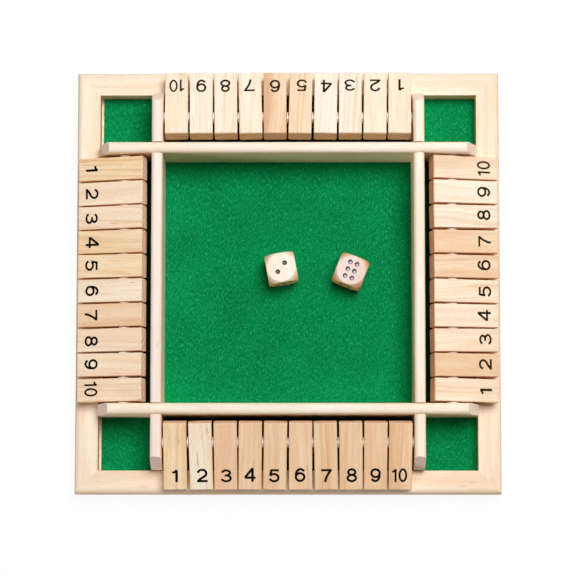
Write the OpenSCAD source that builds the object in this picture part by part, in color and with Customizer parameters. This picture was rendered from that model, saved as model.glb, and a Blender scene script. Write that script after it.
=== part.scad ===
// Four-sided shut the box game: a square wooden tray with a felt floor. Four dividers cross in half laps and
// fence a middle pit, four bays and four corner wells. In each bay ten flaps hang on a steel rod.
// Millimetres. X points east, Y north and Z up. The origin is the middle of the underside.

/* [Flaps] */
// Width of one flap, along its rod
flap_w = 12.35; // [10:0.05:15]
// Length of one flap
flap_len = 36; // [30:0.5:42]
// Thickness of one flap
flap_t = 9; // [7:0.25:11]
// Rounding of the two long edges underneath
flap_round = 2; // [0.8:0.1:3]
// Easing of all the other flap edges
flap_ease = 0.45; // [0.2:0.05:0.8]
// Mean gap between neighbouring flaps
flap_gap = 1; // [0.8:0.05:1.5]
// Room between a flap's inner end and the bay's walls as the flap turns
flap_clear = 2.7; // [1:0.1:4]

/* [Frame] */
// Width of a frame rail
rail_w = 12.5; // [9:0.5:18]
// Height of a frame rail
rail_h = 14.5; // [12.5:0.25:16]
// Rounding of the frame's outer top edge
rail_round = 3; // [1:0.25:4]
// Clear width of a flap bay
bay_w = 29.25; // [26:0.25:34]
// Thickness of the base board
base_t = 4; // [3:0.25:6]
// How far the base board reaches under the frame
base_lap = 6; // [3:0.5:8]
// Gap round the edge of the base board
base_gap = 0.15; // [0.05:0.05:0.5]

/* [Felt] */
// Thickness of the felt sheet
felt_t = 1; // [0.6:0.1:2]
// Gap from the felt to the frame on three sides
felt_gap = 0.1; // [0.05:0.05:0.5]
// Bare strip left along the west rail
felt_bare = 1.2; // [0.1:0.1:3]

/* [Dividers] */
// Thickness of a divider
div_t = 6; // [5:0.25:8]
// Height of the dividers' top edge above the table
div_top = 33.5; // [30:0.5:38]
// Rounding of the dividers' top edges
div_round = 2.4; // [0.8:0.1:2.6]
// Height at which the sloped end starts
div_foot = 20.5; // [16:0.5:24]
// Length of the sloped end, seen from above
div_slope = 6.3; // [3:0.1:8]
// Gap from a divider's end to the frame
div_gap = 0.3; // [0.1:0.05:0.6]
// Side play in a half lap
lap_play = 0.1; // [0.04:0.02:0.3]

/* [Rods and spacers] */
// Radius of a rod
rod_r = 1.25; // [0.8:0.05:1.8]
// Height of the rods above the table
rod_h = 24.65; // [22:0.05:26]
// Depth of the blind hole that holds a rod's end
socket_depth = 4; // [2:0.25:4.5]
// Radial play of a rod in its blind hole
socket_play = 0.04; // [0.01:0.01:0.1]
// Radial play of a flap on its rod
bore_play = 0.08; // [0.02:0.01:0.1]
// Outer radius of a spacer washer
spacer_r = 3; // [2.2:0.1:4]
// Radial play of a spacer on its rod
spacer_play = 0.1; // [0.05:0.05:0.3]
// Room left for a spacer's thickness between two flaps
spacer_room = 0.4; // [0.3:0.05:0.6]

/* [Dice] */
// Width of a die
die_w = 16; // [12:0.5:19]
// Ball that rounds a die's corners and edges, as a share of its width
die_ball = 0.695; // [0.66:0.005:0.74]
// Radius of a pip where it meets the face
pip_r = 1.35; // [0.8:0.05:1.6]
// Radius of the round cutter that drills the pips
pip_cutter = 2; // [1.7:0.1:3]
// Middle of the die that shows two
two_at = [-3.7, 6.9];
// Turn of the die that shows two
two_turn = 10.4; // [-45:0.1:45]
// Middle of the die that shows six
six_at = [34, 5.4];
// Turn of the die that shows six
six_turn = -21.4; // [-45:0.1:45]

/* [Fits] */
// Hair gap under a piece that rests on another and can be lifted off it
rest_gap = 0.02; // [0.01:0.01:0.1]

/* [Hidden] */
$fn = 96;
FLAPS = 10;
SOUTH = 0; EAST = 1; NORTH = 2; WEST = 3;
// Small differences of a hand-built game, flap 1 to flap 10: how far a flap sits along its rod
SHIFT = [
    [-0.1, 0.1, 0.1, 0, 0, 0.1, 0, 0.1, 0, -0.1],
    [0.1, 0.1, 0, -0.1, -0.1, -0.2, -0.2, 0.1, 0.2, 0.1],
    [-0.1, -0.2, -0.2, -0.2, 0.1, 0.3, 0.2, 0.2, 0.1, 0.1],
    [0.5, 0.4, 0.2, 0.1, -0.1, -0.2, -0.3, -0.3, -0.3, -0.1]
];
// and how many degrees its hole is off square
YAW = [
    [0.4, 1.4, 0.6, -0.5, -0.9, 0, 1.2, 0.7, -0.3, -0.3],
    [-0.6, 0.4, 0.9, 0.5, 0.1, 0.5, 1.1, 1.1, 0.5, -0.1],
    [-1.0, -1.1, -0.6, -0.9, -1.1, 0.4, 1.4, 1.0, 0.6, 0.8],
    [0.4, 0.5, 0.5, -0.1, -0.4, -0.2, 0, 0.2, -0.1, 0.1]
];

pitch = flap_w + flap_gap;
pit_w = FLAPS * pitch + flap_gap;
pit_half = pit_w / 2;
wall_half = pit_half + div_t + bay_w;
half = wall_half + rail_w;
felt_top = base_t + felt_t;
// A rod runs along the middle of its bay, so the short arm of a flap clears both sides
rod_out = wall_half - bay_w / 2;
arm_in = sqrt(pow(bay_w / 2 - flap_clear, 2) - pow(flap_t / 2, 2));
arm_out = flap_len - arm_in;
bore_r = rod_r + bore_play;
spacer_t = flap_gap - spacer_room;
lap_h = (felt_top + div_top) / 2;
pip_rise = sqrt(pip_cutter * pip_cutter - pip_r * pip_r);

// A flap's slope at rest: the lowest corner of its outer end lies on the frame
function flap_x(side, n) = (n - (FLAPS + 1) / 2) * pitch + SHIFT[side][n - 1];
function reach(yaw) = (arm_out - flap_ease) * cos(yaw) + flap_w / 2 * abs(sin(yaw));
function tilt(yaw) = asin((rod_h - rail_h - rest_gap) / norm([reach(yaw), flap_t / 2]))
    - atan2(flap_t / 2, reach(yaw));

// Turns a shape drawn for the south side to another side; all four sides are alike
module on_side(side) {
    rotate([0, 0, 90 * side]) children();
}

// Plain square board, let into the frame and flush with its underside
module base_board() {
    w = 2 * (wall_half + base_lap - base_gap);
    color("burlywood") translate([-w / 2, -w / 2, 0]) cube([w, w, base_t]);
}

// One felt sheet on the board, laid a little short of the west rail
module felt() {
    w = 2 * wall_half - felt_gap - felt_bare;
    l = 2 * (wall_half - felt_gap);
    color("seagreen") translate([felt_bare - wall_half, -l / 2, base_t]) cube([w, l, felt_t]);
}

// Section of a frame rail, outwards and up, with the rabbet for the board
module rail_section() {
    difference() {
        union() {
            translate([wall_half, 0]) square([rail_w, rail_h - rail_round]);
            translate([wall_half, 0]) square([rail_w - rail_round, rail_h]);
            translate([half - rail_round, rail_h - rail_round]) circle(r = rail_round);
        }
        translate([wall_half - 1, -1]) square([base_lap + 1, base_t + 1]);
    }
}

// Frame rail, cut to a mitre at both ends
module rail(side) {
    color("wheat") on_side(side) intersection() {
        rotate([90, 0, -90]) linear_extrude(2 * half, center = true) rail_section();
        translate([0, 0, -1]) linear_extrude(rail_h + 2)
            polygon([[0, 0], [-half - 1, -half - 1], [half + 1, -half - 1]]);
    }
}

// Section of a divider, across and up, with both top edges rounded
module divider_section() {
    translate([-div_t / 2, felt_top]) square([div_t, div_top - felt_top - div_round]);
    translate([div_round - div_t / 2, felt_top]) square([div_t - 2 * div_round, div_top - felt_top]);
    for (x = [-1, 1]) translate([x * (div_t / 2 - div_round), div_top - div_round]) circle(r = div_round);
}

// Side view of a divider, with its two sloped ends
module divider_outline() {
    e = wall_half - div_gap;
    polygon([[-e, felt_top], [e, felt_top], [e, div_foot], [e - div_slope, div_top],
        [div_slope - e, div_top], [-e, div_foot]]);
}

// Divider: the north and south ones lie over the east and west ones in the half laps
module divider(side) {
    over = side == SOUTH || side == NORTH;
    lap_w = div_t + 2 * lap_play;
    color("bisque") on_side(side) translate([0, -pit_half - div_t / 2, 0]) difference() {
        intersection() {
            rotate([90, 0, 90]) linear_extrude(2 * wall_half, center = true) divider_section();
            rotate([90, 0, 0]) linear_extrude(div_t + 2, center = true) divider_outline();
        }
        for (x = [-1, 1]) {
            translate([x * (pit_half + div_t / 2) - lap_w / 2, -div_t, over ? felt_top - 1 : lap_h])
                cube([lap_w, 2 * div_t, over ? lap_h - felt_top + 1 : div_top - lap_h + 1]);
            translate([x * rod_out, div_t / 2 + 1, rod_h]) rotate([90, 0, 0])
                cylinder(r = rod_r + socket_play, h = socket_depth + 1);
        }
    }
}

// Steel rod, with both ends in the blind holes of two dividers
module rod(side) {
    color("silver") on_side(side) translate([0, -rod_out, rod_h]) rotate([0, 90, 0])
        cylinder(r = rod_r, h = 2 * (pit_half + socket_depth - socket_play), center = true);
}

// Eleven washers: one on each side of every flap of the row
module spacers(side) {
    color("whitesmoke") on_side(side) for (k = [0:FLAPS]) {
        left = k == 0 ? -pit_half : flap_x(side, k) + flap_w / 2;
        right = k == FLAPS ? pit_half : flap_x(side, k + 1) - flap_w / 2;
        translate([(left + right) / 2, -rod_out, rod_h]) rotate([0, 90, 0]) difference() {
            cylinder(r = spacer_r, h = spacer_t, center = true);
            cylinder(r = rod_r + spacer_play, h = spacer_t + 2, center = true);
        }
    }
}

// Section of a flap, across and up: well rounded edges below, eased edges above
module flap_section() {
    b = flap_round;
    e = flap_ease;
    translate([b - flap_w / 2, -flap_t / 2]) square([flap_w - 2 * b, flap_t / 2]);
    translate([-flap_w / 2, b - flap_t / 2]) square([flap_w, flap_t - b - e]);
    translate([e - flap_w / 2, 0]) square([flap_w - 2 * e, flap_t / 2]);
    for (x = [-1, 1]) {
        translate([x * (flap_w / 2 - b), b - flap_t / 2]) circle(r = b);
        translate([x * (flap_w / 2 - e), flap_t / 2 - e]) circle(r = e);
    }
}

// Side view of a flap, from its outer end to its inner end, with the end edges eased
module flap_outline() {
    e = flap_ease;
    h = flap_t / 2;
    polygon([[e - arm_out, -h], [arm_in - e, -h], [arm_in, e - h], [arm_in, h - e], [arm_in - e, h],
        [e - arm_out, h], [-arm_out, h - e], [-arm_out, e - h]]);
}

// Flap n of a row. Its hole is true to the rod, and its block sits a little askew on it.
module flap(side, n) {
    yaw = YAW[side][n - 1];
    color("navajowhite") on_side(side) translate([flap_x(side, n), -rod_out, rod_h]) difference() {
        rotate([tilt(yaw), 0, 0]) rotate([0, 0, yaw]) intersection() {
            translate([0, arm_in, 0]) rotate([90, 0, 0]) linear_extrude(flap_len) flap_section();
            rotate([90, 0, 90]) linear_extrude(flap_w + 2, center = true) flap_outline();
        }
        rotate([0, 90, 0]) cylinder(r = bore_r, h = flap_w + 4, center = true);
    }
}

// Where the pips of a face sit, as shares of the die's width
function pips(n) =
    n == 1 ? [[0, 0]] :
    n == 2 ? [for (s = [-1, 1]) [0.14 * s, 0.13 * s]] :
    n == 3 ? [for (s = [-1, 0, 1]) [0.2 * s, 0.2 * s]] :
    n == 4 ? [for (s = [-1, 1], t = [-1, 1]) [0.14 * s, 0.14 * t]] :
    n == 5 ? concat([[0, 0]], [for (s = [-1, 1], t = [-1, 1]) [0.2 * s, 0.2 * t]]) :
    [for (s = [-1, 1], t = [-1, 0, 1]) [0.12 * s, 0.25 * t]];

// Die with the numbers of its top, south and east faces; opposite faces add up to seven
module die(at, turn, top, south, east) {
    faces = [[top, [0, 0, 0]], [7 - top, [180, 0, 0]], [south, [90, 0, 0]], [7 - south, [-90, 0, 0]],
        [east, [0, 90, 0]], [7 - east, [0, -90, 0]]];
    color("antiquewhite") translate([at[0], at[1], felt_top + rest_gap + die_w / 2]) rotate([0, 0, turn])
        difference() {
            intersection() {
                cube(die_w, center = true);
                sphere(r = die_ball * die_w);
            }
            for (f = faces, p = pips(f[0])) rotate(f[1])
                translate([p[0] * die_w, p[1] * die_w, die_w / 2 + pip_rise]) sphere(r = pip_cutter, $fn = 48);
        }
}

base_board();
felt();
rail(SOUTH);  // rail_south
rail(EAST);  // rail_east
rail(NORTH);  // rail_north
rail(WEST);  // rail_west
divider(SOUTH);  // divider_south
divider(EAST);  // divider_east
divider(NORTH);  // divider_north
divider(WEST);  // divider_west
rod(SOUTH);  // rod_south
rod(EAST);  // rod_east
rod(NORTH);  // rod_north
rod(WEST);  // rod_west
spacers(SOUTH);  // spacers_south
spacers(EAST);  // spacers_east
spacers(NORTH);  // spacers_north
spacers(WEST);  // spacers_west
flap(SOUTH, 1);  // flap_south_1
flap(SOUTH, 2);  // flap_south_2
flap(SOUTH, 3);  // flap_south_3
flap(SOUTH, 4);  // flap_south_4
flap(SOUTH, 5);  // flap_south_5
flap(SOUTH, 6);  // flap_south_6
flap(SOUTH, 7);  // flap_south_7
flap(SOUTH, 8);  // flap_south_8
flap(SOUTH, 9);  // flap_south_9
flap(SOUTH, 10);  // flap_south_10
flap(EAST, 1);  // flap_east_1
flap(EAST, 2);  // flap_east_2
flap(EAST, 3);  // flap_east_3
flap(EAST, 4);  // flap_east_4
flap(EAST, 5);  // flap_east_5
flap(EAST, 6);  // flap_east_6
flap(EAST, 7);  // flap_east_7
flap(EAST, 8);  // flap_east_8
flap(EAST, 9);  // flap_east_9
flap(EAST, 10);  // flap_east_10
flap(NORTH, 1);  // flap_north_1
flap(NORTH, 2);  // flap_north_2
flap(NORTH, 3);  // flap_north_3
flap(NORTH, 4);  // flap_north_4
flap(NORTH, 5);  // flap_north_5
flap(NORTH, 6);  // flap_north_6
flap(NORTH, 7);  // flap_north_7
flap(NORTH, 8);  // flap_north_8
flap(NORTH, 9);  // flap_north_9
flap(NORTH, 10);  // flap_north_10
flap(WEST, 1);  // flap_west_1
flap(WEST, 2);  // flap_west_2
flap(WEST, 3);  // flap_west_3
flap(WEST, 4);  // flap_west_4
flap(WEST, 5);  // flap_west_5
flap(WEST, 6);  // flap_west_6
flap(WEST, 7);  // flap_west_7
flap(WEST, 8);  // flap_west_8
flap(WEST, 9);  // flap_west_9
flap(WEST, 10);  // flap_west_10
die(two_at, two_turn, 2, 3, 1);  // die_two
die(six_at, six_turn, 6, 4, 5);  // die_six
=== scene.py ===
import logging
import math
import random
from collections.abc import Callable
from dataclasses import dataclass, field, replace
from enum import Enum

import bmesh
import bpy
from mathutils import Euler, Matrix, Vector


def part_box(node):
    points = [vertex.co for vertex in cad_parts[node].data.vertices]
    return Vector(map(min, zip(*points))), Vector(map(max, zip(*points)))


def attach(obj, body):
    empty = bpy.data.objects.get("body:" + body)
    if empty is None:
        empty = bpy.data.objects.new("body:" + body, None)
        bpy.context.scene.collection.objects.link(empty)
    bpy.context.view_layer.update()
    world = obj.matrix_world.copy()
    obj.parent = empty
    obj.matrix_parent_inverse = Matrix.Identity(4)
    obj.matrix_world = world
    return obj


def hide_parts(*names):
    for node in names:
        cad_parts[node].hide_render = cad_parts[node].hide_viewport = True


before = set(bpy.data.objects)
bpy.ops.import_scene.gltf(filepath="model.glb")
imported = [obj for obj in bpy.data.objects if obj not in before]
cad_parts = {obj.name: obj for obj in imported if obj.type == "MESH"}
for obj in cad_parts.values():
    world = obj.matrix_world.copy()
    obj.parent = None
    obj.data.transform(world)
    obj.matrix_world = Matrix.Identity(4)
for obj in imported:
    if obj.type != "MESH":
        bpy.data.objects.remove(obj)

LOG = logging.getLogger("shut_the_box")
MM = 0.001
FLAPS = 10
# Turns of the two dice in degrees, as in the source of the part
TWO_TURN = 10.4
SIX_TURN = -21.4
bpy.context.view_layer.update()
Socket = bpy.types.NodeSocket
Term = float | tuple[float, ...] | Socket
Colour = tuple[float, float, float, float]
Point = tuple[float, float]
Path = tuple[Point, ...]


def paint(red: int, green: int, blue: int) -> Colour:
    """Turns a colour written in the 0 to 255 of a screen into the light that it stands for.

    Args:
        red: Red, 0 to 255.
        green: Green, 0 to 255.
        blue: Blue, 0 to 255.

    Returns:
        The linear colour, with a full fourth channel.
    """
    def light(level: int) -> float:
        """Gives the linear value of one channel."""
        share = level / 255
        return share / 12.92 if share <= 0.04045 else ((share + 0.055) / 1.055) ** 2.4

    return light(red), light(green), light(blue), 1.0


PORE_BROWN = paint(196, 144, 104)
# Near black of the painted shade on the felt in the bays under the flaps
PAINTED_BAY_SHADE = (0.004, 0.003, 0.002, 1)


class Side(Enum):
    """A side of the tray, as quarter turns from the south."""

    SOUTH = 0
    EAST = 1
    NORTH = 2
    WEST = 3

    @property
    def word(self) -> str:
        """Name of the side in the CAD nodes."""
        return self.name.lower()

    @property
    def turn(self) -> float:
        """Turn about the vertical from the south side, in radians."""
        return math.radians(90 * self.value)

    @property
    def inward(self) -> Vector:
        """Level direction from this side to the middle of the tray."""
        return Matrix.Rotation(self.turn, 3, "Z") @ Vector((0, 1, 0))


class Tone(Enum):
    """How one board of pale softwood is coloured: its ground, its warm cloud and its growth lines."""

    PALE = (paint(254, 243, 225), paint(252, 233, 209), paint(230, 194, 158))
    LINEN = (paint(254, 238, 215), paint(251, 227, 198), paint(226, 186, 148))
    CREAM = (paint(254, 232, 204), paint(250, 219, 185), paint(222, 176, 136))
    HONEY = (paint(253, 227, 189), paint(247, 211, 165), paint(214, 162, 112))
    PEACH = (paint(249, 217, 183), paint(242, 201, 161), paint(208, 155, 113))
    AMBER = (paint(245, 210, 171), paint(238, 195, 152), paint(202, 150, 105))
    ROSE = (paint(255, 242, 230), paint(252, 232, 217), paint(226, 190, 168))
    BLUSH = (paint(244, 223, 211), paint(241, 213, 199), paint(216, 175, 154))


class Graph:
    """Places and joins the nodes of one tree."""

    def __init__(self, tree: bpy.types.NodeTree) -> None:
        """Starts with an empty tree.

        Args:
            tree: The tree of a material, a world or a node group.
        """
        self.tree = tree
        tree.nodes.clear()

    def add(self, kind: str, feeds: dict[str | int, Term] | None = None,
            **settings: object) -> bpy.types.Node:
        """Adds a node, with its settings made and its sockets fed.

        Args:
            kind: Type name of the node.
            feeds: For each socket, the socket that feeds it or its fixed value.
            **settings: The node's own settings.

        Returns:
            The new node.
        """
        node = self.tree.nodes.new(kind)
        count = len(self.tree.nodes)
        node.location = (190 * (count % 14), -260 * (count // 14))
        for name, value in settings.items():
            setattr(node, name, value)
        for name, term in (feeds or {}).items():
            if isinstance(term, Socket):
                self.tree.links.new(term, node.inputs[name])
            else:
                node.inputs[name].default_value = term
        return node

    def math(self, operation: str, *terms: Term) -> Socket:
        """Works out one number."""
        return self.add("ShaderNodeMath", dict(enumerate(terms)), operation=operation).outputs[0]

    def vector(self, operation: str, *terms: Term) -> Socket:
        """Works out one vector, or the number that a dot product or a length gives."""
        node = self.add("ShaderNodeVectorMath", dict(enumerate(terms)), operation=operation)
        return node.outputs[1 if operation in ("DOT_PRODUCT", "LENGTH") else 0]

    def noise(self, place: Term, stretch: tuple[float, float, float], detail: float = 2.0,
              rough: float = 0.5) -> Socket:
        """Adds noise that is longer along an axis with a smaller stretch.

        Args:
            place: Where on the piece, in millimetres.
            stretch: Features per millimetre along each axis.
            detail: Octaves of the noise.
            rough: Weight of the finer octaves.

        Returns:
            The noise, about 0.5 in the mean.
        """
        spot = self.vector("MULTIPLY", place, stretch)
        return self.add("ShaderNodeTexNoise", {"Vector": spot, "Scale": 1.0, "Detail": detail,
                                               "Roughness": rough}).outputs[0]

    def fade(self, value: Term, low: float, high: float, start: float = 0.0, stop: float = 1.0) -> Socket:
        """Leads a value smoothly from start at low to stop at high."""
        return self.add("ShaderNodeMapRange", {"Value": value, "From Min": low, "From Max": high,
                                               "To Min": start, "To Max": stop},
                        interpolation_type="SMOOTHSTEP").outputs[0]

    def tint(self, share: Term, first: Term, second: Term, blend: str = "MIX") -> Socket:
        """Mixes two colours."""
        return self.add("ShaderNodeMix", {0: share, 6: first, 7: second}, data_type="RGBA",
                        blend_type=blend).outputs[2]

    def millimetres(self, place: Socket) -> Socket:
        """Turns a place in metres into millimetres."""
        return self.vector("MULTIPLY", place, (1 / MM, 1 / MM, 1 / MM))

    def seen(self) -> Socket:
        """Gives 1 where the camera or a reflection looks, and 0 for the light that falls on the piece."""
        rays = self.add("ShaderNodeLightPath").outputs
        return self.math("MAXIMUM", rays["Is Camera Ray"],
                         self.math("MAXIMUM", rays["Is Glossy Ray"], rays["Is Transmission Ray"]))


def start_material(name: str) -> tuple[bpy.types.Material, Graph]:
    """Starts a material.

    Args:
        name: Name of the material.

    Returns:
        The material and its empty graph.
    """
    made = bpy.data.materials.new(name)
    made.use_nodes = True
    return made, Graph(made.node_tree)


class Effects:
    """The shader effects that several finishes share, each built once as a node group."""

    def __init__(self) -> None:
        """Builds the groups."""
        self.wood_grain = self._wood_grain()
        self.felt_nap = self._felt_nap()
        self.fine_mottle = self._fine_mottle()

    @staticmethod
    def _group(name: str, takes: dict[str, tuple[str, object]],
               gives: dict[str, str]) -> tuple[bpy.types.NodeTree, Graph, bpy.types.Node]:
        """Starts a node group.

        Args:
            name: Name of the group.
            takes: For each input, its socket type and its value when nothing feeds it.
            gives: For each output, its socket type.

        Returns:
            The group, its graph and its input node.
        """
        tree = bpy.data.node_groups.new(name, "ShaderNodeTree")
        graph = Graph(tree)
        for label, (kind, value) in takes.items():
            socket = tree.interface.new_socket(label, in_out="INPUT", socket_type=kind)
            socket.default_value = value
        for label, kind in gives.items():
            tree.interface.new_socket(label, in_out="OUTPUT", socket_type=kind)
        return tree, graph, graph.add("NodeGroupInput")

    def _wood_grain(self) -> bpy.types.NodeTree:
        """Growth rings round a far pith, fibres, flecks and end grain, on a piece with its grain along X.

        Returns:
            The group. Place is in metres from the middle of the piece.
        """
        colour, number, vector = "NodeSocketColor", "NodeSocketFloat", "NodeSocketVector"
        white, origin = (1, 1, 1, 1), (0, 0, 0)
        sway = 5.0
        tree, g, at = self._group(
            "wood_grain",
            {"Place": (vector, origin), "Across Grain": (number, 0.0), "Seed": (vector, origin),
             "Pith": (vector, origin), "Ring Pitch": (number, 2.0), "Ground": (colour, white),
             "Cloud": (colour, white), "Line": (colour, white), "End": (colour, white),
             "End Line": (colour, white), "Figure": (number, 0.5), "Fleck": (number, 0.5),
             "Facing Up": (number, 1.0), "Side": (colour, white)},
            {"Color": colour, "Roughness": number, "Height": number})
        take = at.outputs
        place = g.millimetres(take["Place"])
        own = g.vector("ADD", place, take["Seed"])

        wander = g.math("MULTIPLY_ADD", g.noise(own, (0.012, 0.07, 0.07), 2), sway, -sway / 2)
        spoke = g.vector("SUBTRACT", g.vector("MULTIPLY", place, (0, 1, 1)), take["Pith"])
        ring = g.math("DIVIDE", g.math("ADD", g.vector("LENGTH", spoke), wander), take["Ring Pitch"])
        beat = g.add("ShaderNodeTexNoise", {"W": ring, "Scale": 1.0, "Detail": 3.0, "Roughness": 0.65},
                     noise_dimensions="1D").outputs[0]
        late = g.math("POWER", g.math("FRACT", ring), 3.0)
        lines = g.math("MULTIPLY", late, g.fade(beat, 0.40, 0.62))
        figure = g.math("ADD", g.math("MULTIPLY", lines, 0.65), g.fade(beat, 0.45, 0.75, 0.0, 0.5))

        cloud = g.fade(g.noise(own, (0.02, 0.16, 0.16), 2), 0.34, 0.68)
        fibre = g.noise(own, (0.14, 5.5, 5.5), 3, 0.6)
        thread = g.noise(own, (0.05, 1.7, 1.7), 2)
        pore = g.fade(g.noise(own, (0.45, 3.4, 3.4), 1), 0.66, 0.76)
        knot = g.fade(g.noise(own, (0.09, 0.55, 0.55), 1), 0.70, 0.80)

        body = g.tint(cloud, take["Ground"], take["Cloud"])
        body = g.tint(g.math("MULTIPLY", figure, take["Figure"]), body, take["Line"])
        streak = g.fade(thread, 0.5, 0.72, 0.0, 0.5)
        body = g.tint(g.math("MULTIPLY", streak, take["Figure"]), body, take["Line"])
        body = g.tint(g.math("MULTIPLY", g.math("MAXIMUM", pore, knot), take["Fleck"]), body, PORE_BROWN)
        grain_light = g.fade(fibre, 0.25, 0.75, 0.955, 1.045)
        body = g.vector("MULTIPLY", body, g.add("ShaderNodeCombineXYZ", {
            "X": grain_light, "Y": grain_light, "Z": grain_light}).outputs[0])
        # Faces turned away from the broad face take the Side colour: partly the other cut of the wood,
        # partly painted bounce light and shade
        body = g.tint(g.fade(take["Facing Up"], 0.85, 0.35), body, take["Side"], "MULTIPLY")

        pores_end = g.noise(own, (2.5, 4.0, 4.0), 2)
        late_end = g.fade(g.math("FRACT", ring), 0.45, 0.9)
        band = g.math("MULTIPLY", late_end, g.fade(beat, 0.36, 0.6, 0.25, 0.8))
        end = g.tint(band, take["End"], take["End Line"])
        end = g.tint(g.fade(pores_end, 0.48, 0.72, 0.0, 0.25), end, take["End Line"])
        cut = g.fade(take["Across Grain"], 0.62, 0.9)
        out = g.add("NodeGroupOutput", {
            "Color": g.tint(cut, body, end),
            "Roughness": g.math("ADD", g.fade(fibre, 0.3, 0.7, 0.5, 0.62), g.math("MULTIPLY", cut, 0.2)),
            "Height": g.math("ADD", g.math("MULTIPLY", fibre, 0.7),
                             g.math("MULTIPLY_ADD", figure, 0.35, g.math("MULTIPLY", cut, pores_end)))})
        out.is_active_output = True
        return tree

    def _felt_nap(self) -> bpy.types.NodeTree:
        """Matted wool: short fibres in every direction, paler where they stand up to the light.

        Returns:
            The group. Place is in metres. Outside the bay line, in one direction only, the felt lies under
            the flaps, and there it is darkened with painted shade.
        """
        colour, number = "NodeSocketColor", "NodeSocketFloat"
        black = (0, 0, 0, 1)
        tree, g, at = self._group(
            "felt_nap",
            {"Place": ("NodeSocketVector", (0, 0, 0)), "Bay Line": (number, 70.0), "Bay Shade": (number, 0.2),
             "Deep": (colour, black), "Middle": (colour, black), "Light": (colour, black)},
            {"Color": colour, "Roughness": number, "Height": number})
        place = g.millimetres(at.outputs["Place"])
        layers = []
        for angle, offset in ((70, 0.0), (105, 40.0), (88, 90.0), (20, 150.0)):
            turned = g.add("ShaderNodeMapping", {"Vector": place, "Location": (offset, offset, 0.0),
                                                 "Rotation": (0, 0, -math.radians(angle))}).outputs[0]
            bent = g.vector("ADD", turned, g.vector("MULTIPLY", g.add("ShaderNodeTexNoise", {
                "Vector": turned, "Scale": 0.35, "Detail": 1.0}).outputs[1], (1.5, 1.5, 0.0)))
            layers.append(g.noise(bent, (0.5, 1.9, 0.6), 3, 0.68))
        most = layers[0]
        for layer in layers[1:]:
            most = g.math("MAXIMUM", most, layer)
        least = g.math("MINIMUM", layers[0], layers[2])
        fuzz = g.noise(place, (6.0, 6.0, 6.0), 3, 0.7)
        wear_and_glint = g.noise(place, (0.045, 0.045, 0.045), 2)

        nap = g.tint(g.fade(wear_and_glint, 0.3, 0.7, 0.52, 0.76), at.outputs["Deep"], at.outputs["Middle"])
        nap = g.tint(g.fade(least, 0.47, 0.32, 0.0, 1.0), nap, at.outputs["Deep"])
        nap = g.tint(g.fade(most, 0.57, 0.73, 0.0, 0.85), nap, at.outputs["Light"])
        nap = g.tint(g.fade(fuzz, 0.35, 0.6, 0.4, 0.0), nap, at.outputs["Deep"])
        # Painted shade: in the four bays under the flaps the felt is mixed towards a near black
        spot = g.add("ShaderNodeSeparateXYZ", {"Vector": g.vector("ABSOLUTE", place)}).outputs
        outer = g.math("GREATER_THAN", g.math("MAXIMUM", spot[0], spot[1]), at.outputs["Bay Line"])
        inner = g.math("LESS_THAN", g.math("MINIMUM", spot[0], spot[1]), at.outputs["Bay Line"])
        bay = g.math("MULTIPLY", g.math("MULTIPLY", outer, inner), at.outputs["Bay Shade"])
        nap = g.tint(bay, nap, PAINTED_BAY_SHADE)
        out = g.add("NodeGroupOutput", {
            "Color": nap,
            "Roughness": g.fade(fuzz, 0.2, 0.8, 0.86, 1.0),
            "Height": g.math("ADD", g.math("MULTIPLY", most, 0.7), g.math("MULTIPLY", fuzz, 0.5))})
        out.is_active_output = True
        return tree

    def _fine_mottle(self) -> bpy.types.NodeTree:
        """Small uneven patches and scratches, for metal, plastic and printed ink.

        Returns:
            The group. Place is in metres, and Scale in features per millimetre.
        """
        number, vector = "NodeSocketFloat", "NodeSocketVector"
        tree, g, at = self._group(
            "fine_mottle", {"Place": (vector, (0, 0, 0)), "Scale": (vector, (1, 1, 1))},
            {"Patch": number, "Scratch": number})
        place = g.millimetres(at.outputs["Place"])
        spot = g.vector("MULTIPLY", place, at.outputs["Scale"])
        patch = g.add("ShaderNodeTexNoise", {"Vector": spot, "Scale": 1.0, "Detail": 3.0}).outputs[0]
        scratch = g.add("ShaderNodeTexNoise", {"Vector": spot, "Scale": 6.0, "Detail": 2.0,
                                               "Roughness": 0.7}).outputs[0]
        out = g.add("NodeGroupOutput", {"Patch": patch, "Scratch": scratch})
        out.is_active_output = True
        return tree


@dataclass(frozen=True)
class Grain:
    """How the wood runs through one piece: where its middle is and how its grain lies."""

    middle: Vector
    turn: float = 0.0
    rise: float = 0.0
    seed: int = 0
    pith: Point = (6.0, -22.0)

    @property
    def along(self) -> Vector:
        """Direction of the grain."""
        return Euler((0, -self.rise, self.turn)).to_matrix() @ Vector((1, 0, 0))

    @property
    def up(self) -> Vector:
        """Direction of the broad face, across the grain."""
        return Euler((0, -self.rise, self.turn)).to_matrix() @ Vector((0, 0, 1))


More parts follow.
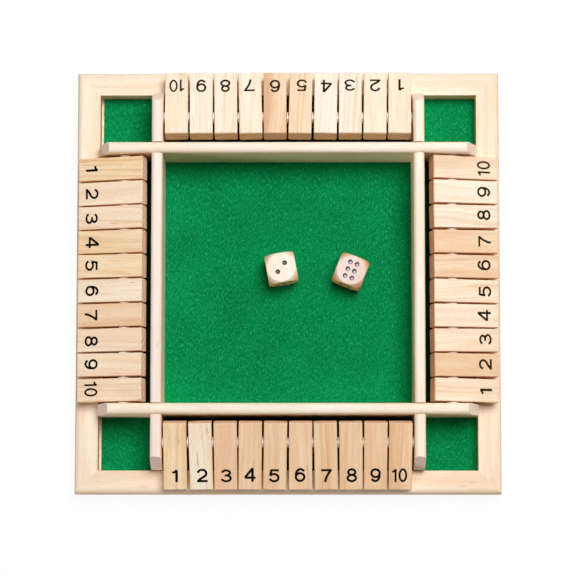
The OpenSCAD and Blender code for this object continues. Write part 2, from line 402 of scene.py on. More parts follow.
@dataclass(frozen=True)
class WoodFinish:
    """Sanded softwood without a coat."""

    slot: str
    end: Colour = paint(224, 184, 148)
    end_line: Colour = paint(206, 158, 120)
    ring_pitch: float = 2.4
    figure: float = 0.5
    fleck: float = 0.45
    relief: float = 0.25
    # Tint of the faces turned away from the broad face: partly the wood's other cut, partly painted bounce
    # light and shade
    side: Colour = paint(255, 232, 208)

    def material(self, name: str, effects: Effects, tone: Tone, grain: Grain) -> bpy.types.Material:
        """Makes the wood of one piece.

        Args:
            name: Name of the material.
            effects: The shared effects.
            tone: Colouring of this board.
            grain: How the wood runs through the piece.

        Returns:
            The material.
        """
        made, g = start_material(name)
        at = g.add("ShaderNodeTexCoord")
        local = g.add("ShaderNodeMapping", {
            "Vector": at.outputs["Object"], "Location": tuple(grain.middle),
            "Rotation": (0, -grain.rise, grain.turn)}, vector_type="TEXTURE").outputs[0]
        across = g.math("ABSOLUTE", g.vector("DOT_PRODUCT", at.outputs["Normal"], tuple(grain.along)))
        facing = g.math("ABSOLUTE", g.vector("DOT_PRODUCT", at.outputs["Normal"], tuple(grain.up)))
        dice = random.Random(grain.seed)
        seed = tuple(dice.uniform(-400, 400) for _ in range(3))
        ground, cloud, line = tone.value
        wood = g.add("ShaderNodeGroup", {
            "Place": local, "Across Grain": across, "Seed": seed, "Pith": (0, *grain.pith),
            "Ring Pitch": self.ring_pitch, "Ground": ground, "Cloud": cloud, "Line": line,
            "End": self.end, "End Line": self.end_line, "Figure": self.figure, "Fleck": self.fleck,
            "Facing Up": facing, "Side": self.side}, node_tree=effects.wood_grain)
        bump = g.add("ShaderNodeBump", {"Height": wood.outputs["Height"], "Strength": self.relief,
                                        "Distance": 0.12 * MM})
        shader = g.add("ShaderNodeBsdfPrincipled", {
            "Base Color": wood.outputs["Color"], "Roughness": wood.outputs["Roughness"],
            "Normal": bump.outputs[0], "Specular IOR Level": 0.32})
        g.add("ShaderNodeOutputMaterial", {"Surface": shader.outputs[0]})
        return made


@dataclass(frozen=True)
class FeltFinish:
    """Green wool felt."""

    deep: Colour = paint(0, 96, 44)
    middle: Colour = paint(4, 156, 88)
    light: Colour = paint(60, 208, 142)
    bay_line: float = 70.0
    # Share of painted shade on the felt in the bays under the flaps
    bay_shade: float = 0.9

    def material(self, name: str, effects: Effects) -> bpy.types.Material:
        """Makes the felt.

        Args:
            name: Name of the material.
            effects: The shared effects.

        Returns:
            The material.
        """
        made, g = start_material(name)
        at = g.add("ShaderNodeTexCoord")
        nap = g.add("ShaderNodeGroup", {
            "Place": at.outputs["Object"], "Deep": self.deep, "Middle": self.middle, "Light": self.light,
            "Bay Line": self.bay_line, "Bay Shade": self.bay_shade}, node_tree=effects.felt_nap)
        bump = g.add("ShaderNodeBump", {"Height": nap.outputs["Height"], "Strength": 0.5,
                                        "Distance": 0.3 * MM})
        shader = g.add("ShaderNodeBsdfPrincipled", {
            "Base Color": nap.outputs["Color"], "Roughness": nap.outputs["Roughness"],
            "Normal": bump.outputs[0], "Specular IOR Level": 0.03, "Sheen Weight": 0.05,
            "Sheen Roughness": 0.6, "Sheen Tint": paint(90, 200, 140)})
        g.add("ShaderNodeOutputMaterial", {"Surface": shader.outputs[0]})
        return made


@dataclass(frozen=True)
class PlainFinish:
    """A finish of one colour family whose patches and scratches show: steel, nylon, ink or paint."""

    first: Colour
    second: Colour
    rough: Point
    metallic: float = 0.0
    scale: tuple[float, float, float] = (1.0, 1.0, 1.0)
    relief: float = 0.1
    subsurface: float = 0.0
    shine: float = 0.5
    # Colour of a painted highlight on the paint of the pips
    painted_glint: Colour | None = None

    def material(self, name: str, effects: Effects) -> bpy.types.Material:
        """Makes the finish. Where a glint colour is given, it is painted in as a highlight where the mesh's
        attribute marks it, broken by the scratches.

        Args:
            name: Name of the material.
            effects: The shared effects.

        Returns:
            The material.
        """
        made, g = start_material(name)
        at = g.add("ShaderNodeTexCoord")
        mottle = g.add("ShaderNodeGroup", {"Place": at.outputs["Object"], "Scale": self.scale},
                       node_tree=effects.fine_mottle)
        patch, scratch = mottle.outputs["Patch"], mottle.outputs["Scratch"]
        colour = g.tint(g.fade(patch, 0.35, 0.65), self.first, self.second)
        # Painted highlight: the glint colour mixed in where the mesh's attribute marks it
        if self.painted_glint is not None:
            wear_and_glint = g.add("ShaderNodeAttribute", attribute_name="painted_glint").outputs["Fac"]
            share = g.math("MULTIPLY", wear_and_glint, g.fade(scratch, 0.3, 0.6, 0.55, 1.0))
            colour = g.tint(share, colour, self.painted_glint)
        bump = g.add("ShaderNodeBump", {"Height": scratch, "Strength": self.relief, "Distance": 0.05 * MM})
        shader = g.add("ShaderNodeBsdfPrincipled", {
            "Base Color": colour, "Roughness": g.fade(scratch, 0.3, 0.7, *self.rough),
            "Normal": bump.outputs[0], "Metallic": self.metallic, "Specular IOR Level": self.shine,
            "Subsurface Weight": self.subsurface,
            "Subsurface Radius": (1.0, 1.0, 1.0), "Subsurface Scale": 0.6 * MM})
        g.add("ShaderNodeOutputMaterial", {"Surface": shader.outputs[0]})
        return made


class Bench:
    """Ways of working on a mesh that several pieces share."""

    @staticmethod
    def clear() -> None:
        """Lets go of everything, so that an operator acts on nothing by chance."""
        if bpy.context.object is not None and bpy.context.object.mode != "OBJECT":
            bpy.ops.object.mode_set(mode="OBJECT")
        bpy.ops.object.select_all(action="DESELECT")

    @staticmethod
    def hold(piece: bpy.types.Object) -> None:
        """Takes up one piece alone."""
        Bench.clear()
        piece.select_set(True)
        bpy.context.view_layer.objects.active = piece

    @staticmethod
    def pick(piece: bpy.types.Object, test: Callable[[bmesh.types.BMVert], bool]) -> None:
        """Selects, in edit mode, the vertices that pass a test.

        Args:
            piece: The piece in edit mode.
            test: Takes a vertex and says whether it is wanted.
        """
        bpy.ops.mesh.select_mode(type="VERT")
        bpy.ops.mesh.select_all(action="DESELECT")
        mesh = bmesh.from_edit_mesh(piece.data)
        for vertex in [vertex for vertex in mesh.verts if test(vertex)]:
            vertex.select_set(True)
        mesh.select_flush_mode()
        bmesh.update_edit_mesh(piece.data)

    @staticmethod
    def finish(piece: bpy.types.Object, kind: str, **settings: object) -> None:
        """Adds a modifier to the held piece and applies it."""
        modifier = piece.modifiers.new(kind.lower(), kind)
        for name, value in settings.items():
            setattr(modifier, name, value)
        bpy.ops.object.modifier_apply(modifier=modifier.name)

    @staticmethod
    def settle(piece: bpy.types.Object) -> None:
        """Puts the held piece's place, turn and size into its mesh."""
        bpy.ops.object.transform_apply(location=True, rotation=True, scale=True)

    @staticmethod
    def twin(piece: bpy.types.Object, name: str, place: Matrix) -> bpy.types.Object:
        """Copies a piece, with its own mesh, to another place.

        Args:
            piece: The piece to copy.
            name: Name of the copy.
            place: Where the copy goes, and how it is turned and scaled.

        Returns:
            The copy, with its place in its mesh.
        """
        Bench.hold(piece)
        bpy.ops.object.duplicate(linked=False)
        made = bpy.context.object
        made.name = name
        made.data.name = name
        made.matrix_world = place
        Bench.settle(made)
        return made

    @staticmethod
    def dress(piece: bpy.types.Object, material: bpy.types.Material, slot: str,
              body: str | None = None) -> None:
        """Gives a piece its only material and, if it is new, the body that it rides on."""
        piece.data.materials.clear()
        piece.data.materials.append(material)
        if body is not None:
            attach(piece, body)


def arc(middle: Point, radii: Point, start: float, stop: float, steps: int = 16) -> Path:
    """Gives points along part of an ellipse.

    Args:
        middle: Its middle.
        radii: Its half width and half height.
        start: First angle, in degrees.
        stop: Last angle, in degrees.
        steps: How many steps lie between them.

    Returns:
        The points.
    """
    turns = [math.radians(start + (stop - start) * step / steps) for step in range(steps + 1)]
    return tuple((middle[0] + radii[0] * math.cos(t), middle[1] + radii[1] * math.sin(t)) for t in turns)


@dataclass(frozen=True)
class Glyph:
    """Middle lines of a printed number, in millimetres: open strokes, and bowls as middle and radii."""

    strokes: tuple[Path, ...] = ()
    bowls: tuple[tuple[Point, Point], ...] = ()
    width: float = 1.28
    size: Point = (1.0, 1.0)
    rise: float = 0.0


SIX_TAIL = arc((0.15, 0.0), (2.2, 3.0), 188, 38)
GLYPHS = {
    1: Glyph(strokes=(((0.55, -3.55), (0.55, 3.05)),
                      ((-1.45, 1.78), (-0.75, 1.85), (-0.1, 2.15), (0.28, 2.6), (0.42, 3.2))),
             size=(1.08, 0.94), rise=-0.3),
    2: Glyph(strokes=(arc((0.0, 1.1), (2.05, 1.9), 172, -38, 18)
                      + ((0.85, -0.75), (-0.2, -1.35), (-1.2, -2.05), (-1.85, -2.7), (-2.08, -3.1)),
                      ((-2.6, -3.02), (2.6, -3.02))), size=(1.0, 0.97), rise=-0.15),
    3: Glyph(strokes=(arc((-0.05, 1.6), (1.85, 1.42), 172, -84), ((-0.7, 0.2), (0.3, 0.2)),
                      arc((0.0, -1.4), (2.12, 1.62), 86, -168)), size=(1.03, 0.93), rise=-0.35),
    4: Glyph(strokes=(((1.15, -3.55), (1.15, 3.5)), ((1.05, 3.25), (-2.3, -1.25)),
                      ((-2.6, -1.45), (2.65, -1.45))), size=(1.03, 1.0), rise=0.2),
    5: Glyph(strokes=(((-1.7, 3.02), (2.25, 3.02)), ((-1.3, 3.4), (-1.85, -0.1)),
                      arc((0.0, -1.05), (2.1, 1.98), 148, -162, 20)), size=(1.02, 0.94), rise=-0.3),
    6: Glyph(strokes=(SIX_TAIL,), bowls=(((0.0, -1.05), (2.1, 1.98)),), size=(0.98, 1.0), rise=0.15),
    7: Glyph(strokes=(((-2.6, 3.02), (2.65, 3.02)),
                      ((2.3, 3.0), (1.25, 1.6), (0.3, -0.2), (-0.35, -2.0), (-0.6, -3.55))),
             size=(1.0, 0.94), rise=-0.25),
    8: Glyph(bowls=(((0.0, 1.58), (1.8, 1.44)), ((0.0, -1.45), (2.12, 1.58))), size=(0.96, 1.0)),
    9: Glyph(strokes=(tuple((-x, -y) for x, y in SIX_TAIL),), bowls=(((0.0, 1.05), (2.1, 1.98)),),
             size=(0.96, 1.0)),
    10: Glyph(strokes=(((-2.0, -3.55), (-2.0, 3.1)),
                       ((-3.75, 1.85), (-3.1, 1.9), (-2.55, 2.2), (-2.2, 2.65), (-2.1, 3.2))),
              bowls=(((1.75, 0.0), (1.72, 3.06)),), width=1.12, size=(0.95, 1.0)),
}


@dataclass
class NumberPress:
    """Prints the numbers: each is drawn once for each weight of the pen, in millimetres, and copied."""

    ink_height: float = 0.04
    size: Point = (1.09, 1.05)
    shapes: dict[tuple[int, float], bpy.types.Object] = field(default_factory=dict)

    def _stroke(self, path: Path, width: float) -> bpy.types.Object:
        """Pulls a stroke out of a plane, edge by edge, along its middle line.

        Args:
            path: Points of the middle line.
            width: Width of the stroke.

        Returns:
            The flat stroke.
        """
        points = [Vector((x, y, 0)) for x, y in path]
        runs = [b - a for a, b in zip(points, points[1:])]
        ways = [math.atan2(run.y, run.x) for run in runs]
        bends = [math.remainder(b - a, math.tau) for a, b in zip(ways, ways[1:])]
        bpy.ops.mesh.primitive_plane_add(size=1, location=points[0] + runs[0] / 2, rotation=(0, 0, ways[0]))
        strip = bpy.context.object
        strip.scale = (runs[0].length, width, 1)
        Bench.settle(strip)
        if len(runs) > 1:
            bpy.ops.object.mode_set(mode="EDIT")
            half = runs[0].length / 2
            Bench.pick(strip, lambda v: (v.co - points[0]).dot(runs[0].normalized()) > half)
            for step, run in enumerate(runs[1:]):
                share = (bends[step] + (bends[step - 1] if step else 0.0)) / 2
                bpy.ops.transform.rotate(value=-share, orient_axis="Z", orient_type="GLOBAL",
                                         center_override=points[step + 1])
                bpy.ops.mesh.extrude_region_move(TRANSFORM_OT_translate={"value": run})
            bpy.ops.transform.rotate(value=-bends[-1] / 2, orient_axis="Z", orient_type="GLOBAL",
                                     center_override=points[-1])
            bpy.ops.object.mode_set(mode="OBJECT")
        return strip

    def _bowl(self, middle: Point, radii: Point, width: float) -> bpy.types.Object:
        """Makes a closed ring: a filled ellipse, inset by the stroke's width and opened.

        Args:
            middle: Middle of the ring.
            radii: Half width and half height of its middle line.
            width: Width of the stroke.

        Returns:
            The flat ring.
        """
        bpy.ops.mesh.primitive_circle_add(vertices=48, radius=1, fill_type="NGON", location=(*middle, 0))
        ring = bpy.context.object
        ring.scale = (radii[0] + width / 2, radii[1] + width / 2, 1)
        Bench.settle(ring)
        bpy.ops.object.mode_set(mode="EDIT")
        bpy.ops.mesh.select_all(action="SELECT")
        bpy.ops.mesh.inset(thickness=width, depth=0)
        bpy.ops.mesh.delete(type="FACE")
        bpy.ops.object.mode_set(mode="OBJECT")
        return ring

    def shape(self, number: int, weight: float) -> bpy.types.Object:
        """Gives the number's shape, and draws it the first time.

        Args:
            number: The number, 1 to 10.
            weight: How heavy the strokes are, as a share of the pen's width.

        Returns:
            The shape, in millimetres about the origin.
        """
        if (number, weight) not in self.shapes:
            glyph = GLYPHS[number]
            width = glyph.width * weight
            Bench.clear()
            parts = [self._stroke(path, width) for path in glyph.strokes]
            parts += [self._bowl(middle, radii, width) for middle, radii in glyph.bowls]
            Bench.clear()
            for part in parts:
                part.select_set(True)
            bpy.context.view_layer.objects.active = parts[0]
            if len(parts) > 1:
                bpy.ops.object.join()
            made = bpy.context.object
            made.name = f"number_{number}"
            made.location = (0, glyph.rise, 0)
            made.scale = (self.size[0] * glyph.size[0], self.size[1] * glyph.size[1], 1)
            Bench.settle(made)
            Bench.finish(made, "SOLIDIFY", thickness=self.ink_height, offset=1.0)
            self.shapes[number, weight] = made
        return self.shapes[number, weight]

    def clean_up(self) -> None:
        """Removes the shapes that the copies were made from."""
        for made in self.shapes.values():
            bpy.data.objects.remove(made)
        self.shapes.clear()


@dataclass
class Tray:
    """The base board, the mitred frame and the crossed dividers."""

    effects: Effects
    frame_wood: WoodFinish = WoodFinish("frame_wood", figure=0.36, fleck=0.45, ring_pitch=3.2,
                                        side=paint(238, 228, 222))
    divider_wood: WoodFinish = WoodFinish("divider_wood", end=paint(246, 222, 204),
                                          end_line=paint(232, 202, 182), figure=0.36, fleck=0.3,
                                          ring_pitch=2.6, side=paint(255, 242, 226))
    board_wood: WoodFinish = WoodFinish("board_wood", figure=0.55, fleck=0.5, ring_pitch=3.0)

    def _grain(self, node: str, side: Side, seed: int, pith: Point) -> Grain:
        """Lays the grain along the long way of a rail or divider."""
        low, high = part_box(node)
        return Grain((low + high) / 2, turn=side.turn, seed=seed, pith=pith)

    def build(self) -> None:
        """Dresses the nodes of the tray."""
        for side, tone, pith in ((Side.SOUTH, Tone.CREAM, (9, -26)), (Side.EAST, Tone.CREAM, (-14, -20)),
                                 (Side.NORTH, Tone.LINEN, (16, -24)), (Side.WEST, Tone.LINEN, (-7, -28))):
            name = f"rail_{side.word}"
            grain = self._grain(name, side, 11 + side.value, pith)
            Bench.dress(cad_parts[name], self.frame_wood.material(name, self.effects, tone, grain),
                        self.frame_wood.slot)
        for side, tone, pith in ((Side.SOUTH, Tone.PALE, (4, -18)), (Side.EAST, Tone.PALE, (-6, 20)),
                                 (Side.NORTH, Tone.PALE, (8, -30)), (Side.WEST, Tone.ROSE, (-3, 16))):
            name = f"divider_{side.word}"
            grain = self._grain(name, side, 31 + side.value, pith)
            Bench.dress(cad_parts[name], self.divider_wood.material(name, self.effects, tone, grain),
                        self.divider_wood.slot)
        low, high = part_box("base_board")
        board = Grain((low + high) / 2, seed=71, pith=(40, -60))
        Bench.dress(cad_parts["base_board"],
                    self.board_wood.material("base_board", self.effects, Tone.CREAM, board),
                    self.board_wood.slot)
        LOG.info("tray: base board, 4 rails and 4 dividers")


@dataclass
class FeltSheet:
    """One sheet of felt on the base board, under the dividers."""

    effects: Effects
    finish: FeltFinish = FeltFinish()
    cells: int = 150
    uneven: float = 0.03
    edge: float = 0.25

    def build(self) -> None:
        """Models the sheet in the space of its solid, with a slightly uneven top and soft edges."""
        low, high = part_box("felt")
        size = high - low
        Bench.clear()
        bpy.ops.mesh.primitive_grid_add(x_subdivisions=self.cells, y_subdivisions=self.cells, size=1,
                                        location=((low.x + high.x) / 2, (low.y + high.y) / 2, low.z))
        sheet = bpy.context.object
        sheet.name = sheet.data.name = "felt_sheet"
        sheet.scale = (size.x, size.y, 1)
        Bench.settle(sheet)
        bpy.ops.object.mode_set(mode="EDIT")
        bpy.ops.mesh.select_all(action="SELECT")
        thick = size.z - 2 * self.uneven * MM
        bpy.ops.mesh.extrude_region_move(TRANSFORM_OT_translate={"value": (0, 0, thick)})
        bpy.ops.mesh.normals_make_consistent(inside=False)
        reach = 0.5 * self.edge * MM
        Bench.pick(sheet, lambda v: v.co.z > low.z + thick / 2 and low.x + reach < v.co.x < high.x - reach
                   and low.y + reach < v.co.y < high.y - reach)
        bpy.ops.transform.vertex_random(offset=self.uneven * MM, seed=3, normal=1.0)
        bpy.ops.object.mode_set(mode="OBJECT")
        Bench.finish(sheet, "BEVEL", width=self.edge * MM, segments=3, limit_method="ANGLE",
                     angle_limit=math.radians(60))
        bpy.ops.object.shade_smooth_by_angle(angle=math.radians(50))
        Bench.dress(sheet, self.finish.material("green_felt", self.effects), "green_felt", "tray")
        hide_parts("felt")
        LOG.info("felt sheet: %.1f by %.1f mm", size.x / MM, size.y / MM)


@dataclass(frozen=True)
class FlapTop:
    """The flat top of a flap: the middle of its outer edge and its directions."""

    edge: Vector
    across: Vector
    inward: Vector
    up: Vector

    @staticmethod
    def of(node: bpy.types.Object, side: Side) -> "FlapTop":
        """Finds the top in a flap's own mesh.

        Args:
            node: The CAD node of the flap.
            side: The side that the flap is on.

        Returns:
            The top.
        """
        mesh = node.data
        raised = [face for face in mesh.polygons if face.normal.z > 0.9]
        up = max(raised, key=lambda face: face.area).normal.copy()
        level = [face for face in mesh.polygons if face.normal.dot(up) > 0.99999]
        spots = [mesh.vertices[index].co.copy() for face in level for index in face.vertices]
        runs = [mesh.vertices[b].co - mesh.vertices[a].co for face in level for a, b in face.edge_keys]
        runs = [run if run.dot(side.inward) > 0 else -run for run in runs]
        inward = max((run for run in runs if run.normalized().dot(side.inward) > 0.95
                      and abs(run.normalized().dot(side.inward.cross(up))) < 0.06),
                     key=lambda run: run.length).normalized()
        across = inward.cross(up).normalized()
        reach = min(spot.dot(inward) for spot in spots)
        sides = [spot.dot(across) for spot in spots]
        height = sum(spot.dot(up) for spot in spots) / len(spots)
        edge = inward * reach + across * (min(sides) + max(sides)) / 2 + up * height
        return FlapTop(edge, across, inward, up)

    def place(self, along: float, aside: float, lift: float) -> Matrix:
        """Gives the place of a print on the top, scaled from millimetres.

        Args:
            along: Distance from the outer edge, in millimetres.
            aside: Distance from the middle, in millimetres.
            lift: Height over the wood, in millimetres.

        Returns:
            The place.
        """
        spot = self.edge + (self.inward * along + self.across * aside + self.up * lift) * MM
        turn = Matrix((self.across, self.inward, self.up)).transposed()
        return Matrix.Translation(spot) @ turn.to_4x4() @ Matrix.Scale(MM, 4)


@dataclass
class FlapRow:
    """A steel rod with ten flaps, their washers and their printed numbers."""

    effects: Effects
    press: NumberPress
    side: Side
    tones: tuple[Tone, ...]
    slips: tuple[float, ...]
    ink: PlainFinish
    weight: float
    # Colour of the ends, set row by row as painted light and shade for how the light falls on each row's
    # ends
    end: Colour
    wood: WoodFinish = WoodFinish("flap_wood", figure=0.5, fleck=0.5, ring_pitch=2.2)
    steel: PlainFinish = PlainFinish(paint(196, 196, 200), paint(168, 168, 172), (0.22, 0.4), metallic=1.0,
                                     scale=(0.4, 0.4, 3.0), relief=0.2)
    nylon: PlainFinish = PlainFinish(paint(250, 250, 248), paint(240, 240, 238), (0.35, 0.5),
                                     scale=(1.5, 1.5, 1.5), subsurface=0.3)
    cross_grain: float = 4.0
    number_along: float = 7.55
    lift: float = 0.01

    def _flap(self, number: int, ink: bpy.types.Material) -> None:
        """Dresses one flap and prints its number in the given ink."""
        name = f"flap_{self.side.word}_{number}"
        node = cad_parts[name]
        top = FlapTop.of(node, self.side)
        low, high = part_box(name)
        dice = random.Random(100 * self.side.value + number)
        rise = math.asin(max(-1.0, min(1.0, top.inward.z)))
        turn = math.atan2(top.inward.y, top.inward.x)
        slope = math.radians(dice.uniform(-self.cross_grain, self.cross_grain))
        grain = Grain((low + high) / 2, turn=turn + slope, rise=rise,
                      seed=200 + 20 * self.side.value + number,
                      pith=(dice.uniform(-16, 16), dice.choice((-1, 1)) * dice.uniform(7, 26)))
        share = dice.uniform(0.0, 0.3)
        end = tuple(a + (b - a) * share for a, b in zip(self.end, self.wood.end_line))
        wood = replace(self.wood, end=end, figure=self.wood.figure * dice.uniform(0.6, 1.6),
                       fleck=self.wood.fleck * dice.uniform(0.4, 1.4),
                       ring_pitch=self.wood.ring_pitch * dice.uniform(0.7, 1.5))
        Bench.dress(node, wood.material(name, self.effects, self.tones[number - 1], grain), wood.slot)
        print_name = f"number_{self.side.word}_{number}"
        place = top.place(self.number_along, self.slips[number - 1], self.lift)
        made = Bench.twin(self.press.shape(number, self.weight), print_name, place)
        Bench.dress(made, ink, wood.slot, name)

    def build(self) -> None:
        """Dresses the rod, the washers and the flaps, and prints the numbers."""
        word = self.side.word
        ink = self.ink.material(f"ink_{word}", self.effects)
        Bench.dress(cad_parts[f"rod_{word}"], self.steel.material(f"steel_{word}", self.effects),
                    "rod_steel")
        Bench.dress(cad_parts[f"spacers_{word}"], self.nylon.material(f"nylon_{word}", self.effects),
                    "spacer_plastic")
        for number in range(1, FLAPS + 1):
            self._flap(number, ink)
        LOG.info("%s row: rod, washers, %d flaps and their numbers", word, FLAPS)


@dataclass
class Die:
    """A ball-cut wooden die with painted pips."""

    effects: Effects
    name: str
    turn: float
    faces: tuple[int, int, int]
    wood: WoodFinish
    tone: Tone
    # Middle, reach and colour of the painted highlight on each pip's paint
    glint_at: Point
    glint_reach: float
    wear_and_glint: Colour
    size: float = 16.0
    pip_radius: float = 1.35
    cutter: float = 2.0
    paint_gap: float = 0.015
    paint_low: float = 0.02
    paint_skin: float = 0.02
    glint_blur: float = 0.3

    @property
    def rise(self) -> float:
        """Height of the cutter's middle over the face that it drills."""
        return math.sqrt(self.cutter ** 2 - self.pip_radius ** 2)

    def _spots(self, number: int) -> list[Point]:
        """Gives the places of a face's pips, as shares of the die's width."""
        if number == 1:
            return [(0, 0)]
        if number == 2:
            return [(0.14 * s, 0.13 * s) for s in (-1, 1)]
        if number == 3:
            return [(0.2 * s, 0.2 * s) for s in (-1, 0, 1)]
        if number == 4:
            return [(0.14 * s, 0.14 * t) for s in (-1, 1) for t in (-1, 1)]
        if number == 5:
            return [(0.0, 0.0)] + [(0.2 * s, 0.2 * t) for s in (-1, 1) for t in (-1, 1)]
        return [(0.12 * s, 0.25 * t) for s in (-1, 1) for t in (-1, 0, 1)]

    def _drop(self) -> bpy.types.Object:
        """Models the skin of paint in one pip: the low cap of a ball, cut off level and given a thickness.

        Returns:
            The skin, in millimetres, with the middle of the ball at the origin.
        """
        radius = self.cutter - self.paint_gap
        Bench.clear()
        bpy.ops.mesh.primitive_uv_sphere_add(segments=24, ring_count=24, radius=radius, location=(0, 0, 0))
        drop = bpy.context.object
        bpy.ops.object.mode_set(mode="EDIT")
        bpy.ops.mesh.select_all(action="SELECT")
        bpy.ops.mesh.bisect(plane_co=(0, 0, -self.rise - self.paint_low), plane_no=(0, 0, 1),
                            clear_outer=True, threshold=1e-5)
        bpy.ops.mesh.select_all(action="SELECT")
        bpy.ops.mesh.flip_normals()
        bpy.ops.object.mode_set(mode="OBJECT")
        # The attribute marks a round patch off the pip's middle, where a painted highlight lies on the paint
        painted_glint = drop.data.attributes.new("painted_glint", "FLOAT", "POINT")
        for index, vertex in enumerate(drop.data.vertices):
            out = (vertex.co.xy - Vector(self.glint_at)).length
            painted_glint.data[index].value = max(0.0, min(1.0, (self.glint_reach - out) / self.glint_blur))
        Bench.finish(drop, "SOLIDIFY", thickness=self.paint_skin, offset=1.0)
        bpy.ops.object.shade_smooth()
        return drop

    def build(self) -> None:
        """Dresses the die and paints the pips of its six faces."""
        low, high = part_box(self.name)
        middle = (low + high) / 2
        top, south, east = self.faces
        grain = Grain(middle, turn=self.turn + math.radians(90), seed=401 + self.faces[0], pith=(3.0, -9.0))
        Bench.dress(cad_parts[self.name], self.wood.material(self.name, self.effects, self.tone, grain),
                    self.wood.slot)
        drop = self._drop()
        stand = Matrix.Translation(middle) @ Matrix.Rotation(self.turn, 4, "Z")
        sides = ((top, (0, 0, 0)), (7 - top, (180, 0, 0)), (south, (90, 0, 0)), (7 - south, (-90, 0, 0)),
                 (east, (0, 90, 0)), (7 - east, (0, -90, 0)))
        made = []
        for number, turns in sides:
            face = Euler([math.radians(t) for t in turns]).to_matrix().to_4x4()
            for x, y in self._spots(number):
                spot = Matrix.Translation((x * self.size, y * self.size, self.size / 2 + self.rise))
                made.append(Bench.twin(drop, f"{self.name}_pip", stand @ Matrix.Scale(MM, 4) @ face @ spot))
        bpy.data.objects.remove(drop)
        Bench.clear()
        for pip in made:
            pip.select_set(True)
        bpy.context.view_layer.objects.active = made[0]
        bpy.ops.object.join()
        pips = bpy.context.object
        pips.name = pips.data.name = f"{self.name}_pips"
        black = PlainFinish(paint(24, 18, 16), paint(12, 10, 10), (0.3, 0.5), scale=(2.0, 2.0, 2.0),
                            painted_glint=self.wear_and_glint)
        Bench.dress(pips, black.material(f"{self.name}_paint", self.effects), self.wood.slot, self.name)
        LOG.info("%s: %d pips", self.name, len(made))


@dataclass(frozen=True)
class Lamp:
    """A round soft lamp that shines on the middle of the tray."""

    name: str
    place: tuple[float, float, float]
    size: float
    power: float

    def build(self) -> None:
        """Hangs the lamp."""
        at = Vector(self.place) * MM
        bpy.ops.object.light_add(type="AREA", location=at, rotation=at.to_track_quat("Z", "Y").to_euler())
        lamp = bpy.context.object
        lamp.name = self.name
        lamp.data.shape = "DISK"
        lamp.data.size = self.size * MM
        lamp.data.energy = self.power
        lamp.visible_camera = False


@dataclass
class Studio:
    """White floor, a soft key lamp over the north-east, a low side lamp, a low fill lamp and the camera."""

    eye: tuple[float, float, float] = (4.8, -153.5, 1158.9)
    look: tuple[float, float, float] = (5.14, 0.24, 0.02)
    lens: float = 133.03
    shift: Point = (0.0, 0.15)
    lamps: tuple[Lamp, ...] = (Lamp("key_lamp", (380.0, 540.0, 1830.0), 1150.0, 37.2),
                               Lamp("side_lamp", (1150.0, 1050.0, 420.0), 600.0, 3.2),
                               Lamp("fill_lamp", (-1150.0, -1200.0, 330.0), 600.0, 7.1))
    sky: float = 0.04
    shadow: float = 0.07
    floor_size: float = 8.0
    floor_grey: float = 0.75
    sensor: float = 36.0

    def _floor(self) -> None:
        """Lays the floor, which is white to the eye and keeps the shadow."""
        Bench.clear()
        bpy.ops.mesh.primitive_plane_add(size=self.floor_size, location=(0, 0, 0))
        floor = bpy.context.object
        floor.name = "floor"
        made, g = start_material("floor")
        seen = g.seen()
        grey = (self.floor_grey, self.floor_grey, self.floor_grey, 1)
        shade = g.add("ShaderNodeBsdfDiffuse", {"Color": g.tint(seen, grey, (1, 1, 1, 1))})
        white = g.add("ShaderNodeEmission", {"Color": (1, 1, 1, 1), "Strength": 1.0})
        both = g.add("ShaderNodeMixShader", {
            0: g.math("MULTIPLY", seen, 1 - self.shadow), 1: shade.outputs[0], 2: white.outputs[0]})
        g.add("ShaderNodeOutputMaterial", {"Surface": both.outputs[0]})
        floor.data.materials.append(made)

    def _world(self) -> None:
        """Sets the sky: an even light, and white where the camera or a reflection sees it."""
        world = bpy.data.worlds.new("sky")
        world.use_nodes = True
        g = Graph(world.node_tree)
        sky = g.add("ShaderNodeBackground", {
            "Color": (1, 1, 1, 1), "Strength": g.math("MULTIPLY_ADD", g.seen(), 1 - self.sky, self.sky)})
        g.add("ShaderNodeOutputWorld", {"Surface": sky.outputs[0]})
        bpy.context.scene.world = world

    def build(self) -> None:
        """Sets up the floor, the sky, the lamps and the camera."""
        self._floor()
        self._world()
        Bench.clear()
        for lamp in self.lamps:
            lamp.build()
        eye = Vector(self.eye) * MM
        bpy.ops.object.camera_add(location=eye, rotation=[math.radians(turn) for turn in self.look])
        camera = bpy.context.object
        camera.data.lens = self.lens
        camera.data.sensor_width = self.sensor
        camera.data.shift_x, camera.data.shift_y = self.shift
        bpy.context.scene.camera = camera
        bpy.context.scene.view_settings.view_transform = "Standard"
        LOG.info("studio: floor, sky, %d lamps and camera", len(self.lamps))


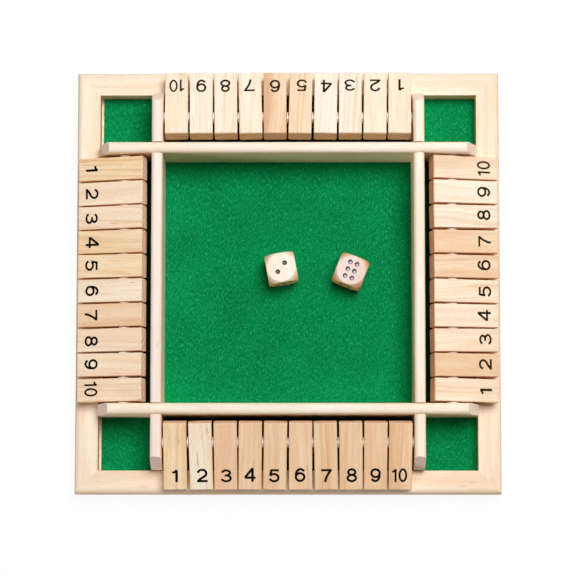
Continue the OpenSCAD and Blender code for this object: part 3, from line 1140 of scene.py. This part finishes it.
def main() -> None:
    """Builds and dresses the whole game."""
    logging.basicConfig(level=logging.INFO, format="%(message)s")
    effects = Effects()
    Studio().build()
    Tray(effects).build()
    FeltSheet(effects).build()
    press = NumberPress()
    fresh = PlainFinish(paint(22, 17, 12), paint(12, 9, 7), (0.7, 0.85), scale=(3.0, 3.0, 3.0), shine=0.06)
    faded = PlainFinish(paint(56, 38, 20), paint(38, 26, 14), (0.7, 0.85), scale=(3.0, 3.0, 3.0), shine=0.06)
    pale, linen, cream, honey, peach, amber = (Tone.PALE, Tone.LINEN, Tone.CREAM, Tone.HONEY, Tone.PEACH,
                                               Tone.AMBER)
    # Each row: side, tones of its ten flaps, slips of the numbers, ink, pen weight and end-grain colour. The
    # tones are partly the wood's own and partly painted light: the south row has darker tones and the north
    # row paler ones for how the light falls on each row.
    rows = (
        (Side.SOUTH, (honey, linen, peach, amber, amber, peach, amber, amber, amber, amber),
         (0.1, 0.5, 0.2, 0.0, -0.4, -0.3, 0.1, 0.3, 0.0, -0.5), fresh, 0.93, paint(255, 228, 200)),
        (Side.EAST, (cream, amber, cream, linen, cream, peach, peach, linen, linen, cream),
         (-0.3, 0.4, 0.4, 0.2, -0.2, 0.8, 0.1, 0.8, 0.1, -0.2), faded, 0.86, paint(248, 206, 168)),
        (Side.NORTH, (linen, linen, pale, pale, cream, peach, pale, pale, pale, linen),
         (-0.5, 0.1, 0.3, -0.2, -0.6, 0.0, 0.3, 0.1, 0.0, -0.2), faded, 0.82, paint(255, 232, 190)),
        (Side.WEST, (honey, cream, cream, honey, honey, linen, peach, cream, cream, cream),
         (-0.2, 0.0, 0.2, 0.2, -0.4, 0.1, -0.1, 0.5, -0.3, -0.7), fresh, 0.88, paint(255, 234, 212)),
    )
    for side, tones, slips, ink, weight, end in rows:
        FlapRow(effects, press, side, tones, slips, ink, weight, end).build()
    press.clean_up()
    cream_die = WoodFinish("die_wood", end=paint(255, 200, 150), end_line=paint(240, 176, 124), figure=0.12,
                           fleck=0.1, ring_pitch=2.2, side=paint(255, 216, 176))
    amber_die = WoodFinish("die_wood", end=paint(255, 190, 122), end_line=paint(240, 168, 96), figure=0.12,
                           fleck=0.1, ring_pitch=2.2, side=paint(255, 196, 124))
    # The last three arguments of each die give the painted highlight in its pips: its middle, its reach and
    # its colour
    Die(effects, "die_two", math.radians(TWO_TURN), (2, 3, 1), cream_die, Tone.PALE, (-0.2, 0.0), 0.5,
        paint(140, 130, 124)).build()
    Die(effects, "die_six", math.radians(SIX_TURN), (6, 4, 5), amber_die, Tone.BLUSH, (0.3, -0.25), 0.95,
        paint(206, 192, 206)).build()


if __name__ == "__main__":
    main()
